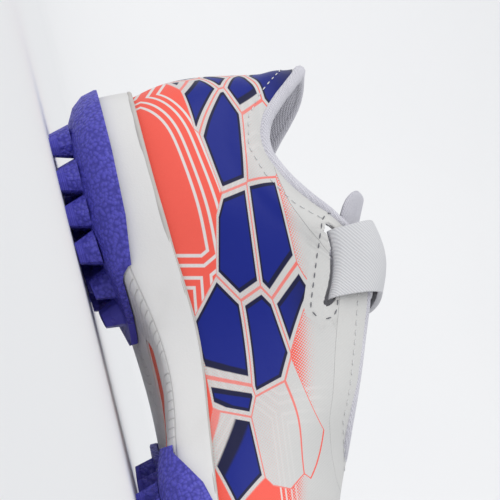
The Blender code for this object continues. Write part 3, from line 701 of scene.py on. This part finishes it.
pinstripe = first_stripe.maths("MAXIMUM", first_stripe, second_stripe)
hairline = facet_edge.near(0.0, hairline_width) * field
ground = white.over(coral, print_white)
ground = (pinstripe * (1.0 - fade)).over(ground, line_white)
ground = (hairline * fade).over(ground, coral)
patch = place.layer("patch").step(patch_reach, patch_reach - 0.0002)
throat = (stay_width * run.step(*stay_start) - edge).step(0.0, 0.0002)
plain = patch.maths("MAXIMUM", patch, throat)
ground = (twill * 0.08 * fade + 0.08).over(ground, twill_grey)
print_colour = facet.over(ground, printed)
film = facet * (1.0 - plain)
feed(shader,
     colour=plain.over(print_colour, print_white),
     roughness=0.44 - 0.10 * film + 0.12 * place.grain(0.01),
     height=film * 0.00005 + twill * 0.000012 * (1.0 - film) + place.grain(0.005) * 0.00010
            + throat * 0.00018)
upper = place_piece("upper_shell", shell, [skin_finish, knit, knit], "upper", "upper")

# Collar trim
# A knitted trim rolled over the collar's padded edge; it thins to a folded edge along the throat.
trim_lift = 0.0003
trim_throat_sink = 0.0006
trim_points = []
trim_radii = []
for point, width, (outside, out, rise) in zip(top_line, top_widths, top_outsides):
    padded_collar = soft(-point.x, 0.035, 0.060)
    lift = trim_lift * padded_collar - trim_throat_sink * (1.0 - padded_collar)
    trim_points.append(point + rise * lift)
    trim_radii.append(0.5 * width + 0.0002 + 0.0002 * padded_collar)
bead("collar_trim", trim_points, trim_radii, knit, "lining")

# Seams
# Rows of lockstitch: one under the collar trim and round the throat, one round the strap's slot.
thread_radius = 0.00021
thread_lift = 0.00014
stitch_length = 0.0019
stitch_gap = 0.0009
collar_seam_drop = 0.0048
slot_seam_reach = 0.0041
slot_seam_points = 48


def stitched(name, row, closed, material, tree, slot):
    """Stitches laid end to end along a row of points on a surface."""
    seam = bmesh.new()
    dense = filled_in(row, 0.0002, closed)
    start = None
    travelled = 0.0
    for before, point in zip(dense, dense[1:]):
        travelled += (point - before).length
        if start is None and travelled >= stitch_gap:
            start = point
            travelled = 0.0
        elif start is not None and travelled >= stitch_length:
            middle, normal, index, distance = tree.find_nearest((start + point) / 2.0)
            run = (point - start).normalized()
            side = normal.cross(run).normalized()
            turn = Matrix((run, side, run.cross(side))).transposed().to_4x4()
            size = Matrix.Diagonal((0.5 * stitch_length, thread_radius, thread_radius, 1.0))
            bmesh.ops.create_uvsphere(seam, u_segments=6, v_segments=4, radius=1.0,
                                      matrix=Matrix.Translation(middle + normal * thread_lift)
                                      @ turn @ size)
            start = None
            travelled = 0.0
    shade(seam, radians(70))
    return place_piece(name, seam, [material], slot)


white_thread, shader, place = finish("white thread", {"Roughness": 0.6})
feed(shader, place.grain(0.0005).over((0.60, 0.60, 0.60, 1), (0.78, 0.78, 0.78, 1)),
     height=place.axis("X").wave(0.0004) * 0.00003)
grey_thread, shader, place = finish("grey thread", {"Roughness": 0.6})
feed(shader, place.grain(0.0005).over((0.10, 0.10, 0.12, 1), (0.20, 0.20, 0.22, 1)),
     height=place.axis("X").wave(0.0004) * 0.00003)

collar_row = []
for outside, out, rise in top_outsides:
    aim = outside + out * 0.0015 - rise * collar_seam_drop
    collar_row.append(shell_tree.find_nearest(aim)[0])
stitched("collar_seam", collar_row, True, white_thread, shell_tree, "upper")

slot_out = shell_tree.find_nearest((slot_rear + slot_front) / 2.0 + Vector((0.0, -0.004, 0.0)))[1]
slot_side = slot_out.cross(slot_run).normalized()
slot_row = []
for index in range(slot_seam_points):
    angle = 2.0 * pi * index / slot_seam_points
    end = slot_front if cos(angle) > 0.0 else slot_rear
    spoke = slot_run * cos(angle) + slot_side * sin(angle)
    aim = end + spoke * slot_seam_reach + slot_out * 0.002
    slot_row.append(shell_tree.find_nearest(aim)[0])
stitched("slot_seam", slot_row, True, grey_thread, shell_tree, "upper")

# Tongue
# A padded tongue of knitted fabric that lies under the throat and rises behind the strap.
pad = merged_copy("tongue")
pad = smoothed(pad, radians(50), 0.35, 2)
shade(pad, radians(60))
tongue = place_piece("tongue_pad", pad, [knit], "lining", "tongue")

# Strap
# A white coated band that comes out of the medial slot and folds back over the instep. Its tail
# holds to the lateral side by hook tape, which is sewn on with a box of stitches.
strap_axis = Vector((-0.0345, 0.006, 0.060))
strap_radius = 0.026
weave_pitch = 0.0012
strap_light = (0.70, 0.70, 0.71, 1)
strap_shade = (0.52, 0.52, 0.54, 1)
box_start = radians(2)
box_end = radians(24)
box_half_width = 0.0072

ribbon = merged_copy("strap")
ribbon = smoothed(ribbon, crease_angle, 0.70, 2)
wrap_layer = ribbon.verts.layers.float.new("wrap")
for vertex in ribbon.verts:
    offset = vertex.co - strap_axis
    wrap = atan2(offset.z, offset.y)
    vertex[wrap_layer] = strap_radius * (wrap if wrap > -1.0 else wrap + 2.0 * pi)
shade(ribbon, radians(50))
ribbon_tree = BVHTree.FromBMesh(ribbon)

band_finish, shader, place = finish("strap twill", {"Specular IOR Level": 0.4})
# Painted shade: the twill is painted darker, towards strap_shade, in the hollows of the weave and lighter
# on its ribs, in step with the bump; the grain gives random tone.
shaded_weave = (place.axis("X") + 1.5 * place.layer("wrap")).wave(weave_pitch)
feed(shader,
     colour=(0.4 + 0.35 * shaded_weave + 0.25 * place.grain(0.01)).over(strap_shade, strap_light),
     roughness=0.48 + 0.1 * place.grain(0.002),
     height=shaded_weave * 0.00004)
strap = place_piece("strap_band", ribbon, [band_finish], "strap", "strap")

box_row = []
for x_share, turn_share in ((-1, 0), (1, 0), (1, 1), (-1, 1)):
    turn = box_start + (box_end - box_start) * turn_share
    far = strap_axis + Vector((x_share * box_half_width, 0.08 * cos(turn), 0.08 * sin(turn)))
    heart = strap_axis + Vector((x_share * box_half_width, 0.0, 0.0))
    hit = ribbon_tree.ray_cast(far, (heart - far).normalized())[0]
    box_row.append(hit if hit is not None else heart)
stitched("strap_seam", box_row, True, white_thread, ribbon_tree, "strap")
